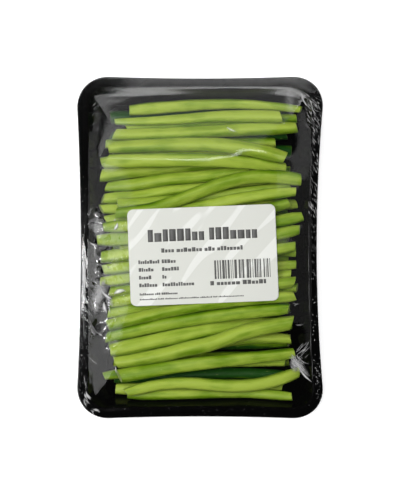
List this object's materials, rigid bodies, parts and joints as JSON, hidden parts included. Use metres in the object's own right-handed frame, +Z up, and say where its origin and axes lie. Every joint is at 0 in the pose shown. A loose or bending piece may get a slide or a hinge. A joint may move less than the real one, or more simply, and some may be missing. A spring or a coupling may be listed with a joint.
{
  "type": "tray-packed green bean bundle",
  "caption": "Bundle of trimmed fine green beans lying side by side across a shallow black retail tray, under clear stretch film with a paper label on top.",
  "frame": {"origin": "middle of the pack's underside, on the surface it stands on", "axes": "+Y along the tray's longer side, +X along the beans, +Z up"},
  "size_m": [0.1343, 0.1866, 0.0306],
  "materials": {
    "tray": "black thermoformed sheet, glossy",
    "film": "clear stretch film, glossy, with small creases",
    "label": "off-white semi-matt paper with a pale grey pattern and plain grey marks",
    "bean": "smooth satin pod skin, yellow-green, with paler cut ends"
  },
  "bodies": {
    "root": {"tray": "tray", "film": "film", "label": "label", "bean_01": "bean", "bean_02": "bean", "bean_03": "bean", "bean_04": "bean", "bean_05": "bean", "bean_06": "bean", "bean_07": "bean", "bean_08": "bean", "bean_09": "bean", "bean_10": "bean", "bean_11": "bean", "bean_12": "bean", "bean_13": "bean", "bean_14": "bean", "bean_15": "bean", "bean_16": "bean", "bean_17": "bean", "bean_18": "bean", "bean_19": "bean", "bean_20": "bean", "bean_21": "bean", "bean_22": "bean", "bean_23": "bean", "bean_24": "bean", "bean_25": "bean", "bean_26": "bean", "bean_27": "bean", "bean_28": "bean", "bean_29": "bean", "bean_30": "bean", "bean_31": "bean", "bean_32": "bean", "bean_33": "bean", "bean_34": "bean", "bean_35": "bean", "bean_36": "bean", "bean_37": "bean", "bean_38": "bean", "bean_39": "bean", "bean_40": "bean", "bean_41": "bean", "bean_42": "bean", "bean_43": "bean", "bean_44": "bean", "bean_45": "bean", "bean_46": "bean", "bean_47": "bean", "bean_48": "bean", "bean_49": "bean", "bean_50": "bean", "bean_51": "bean", "bean_52": "bean", "bean_53": "bean", "bean_54": "bean", "bean_55": "bean", "bean_56": "bean", "bean_57": "bean"}
  },
  "joints": []
}
